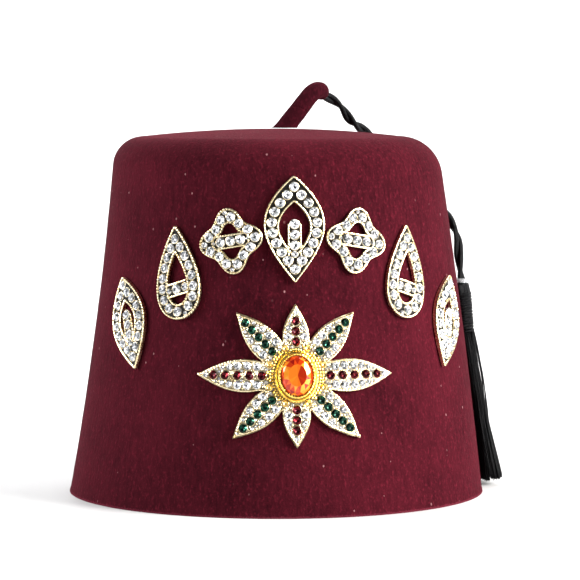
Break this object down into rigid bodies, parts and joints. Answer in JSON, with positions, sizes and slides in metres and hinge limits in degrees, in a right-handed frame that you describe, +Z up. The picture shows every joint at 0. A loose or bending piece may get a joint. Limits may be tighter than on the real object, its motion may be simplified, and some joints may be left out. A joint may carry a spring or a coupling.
{
  "type": "fez hat",
  "caption": "Felt fez with an oval truncated-cone crown, short stem, corded tassel and applied rhinestone motifs on the front.",
  "frame": {"origin": "centre of the crown's cut lower edge, on the surface it stands on", "axes": "+Z up through the top; -Y is the front with the ornament; +X is the side the tassel hangs on"},
  "size_m": [0.1889, 0.184, 0.1751],
  "materials": {
    "felt": "deep maroon wool felt, brushed",
    "stem_felt": "dark maroon rolled felt",
    "black_thread": "black rayon thread, slight sheen",
    "clear_ring": "clear, glossy",
    "rhinestone_setting": "gold-plated channel set with clear, green and red cut stones",
    "amber_stone": "cut, transparent amber"
  },
  "bodies": {
    "root": {"crown": "felt", "stem": "stem_felt", "tassel_cord": "black_thread", "tassel_ring": "clear_ring", "tassel": "black_thread", "leaf_left": "rhinestone_setting", "drop_left": "rhinestone_setting", "lobes_left": "rhinestone_setting", "leaf_centre": "rhinestone_setting", "lobes_right": "rhinestone_setting", "drop_right": "rhinestone_setting", "leaf_right": "rhinestone_setting", "rosette": "rhinestone_setting", "centre_stone": "amber_stone"}
  },
  "joints": []
}
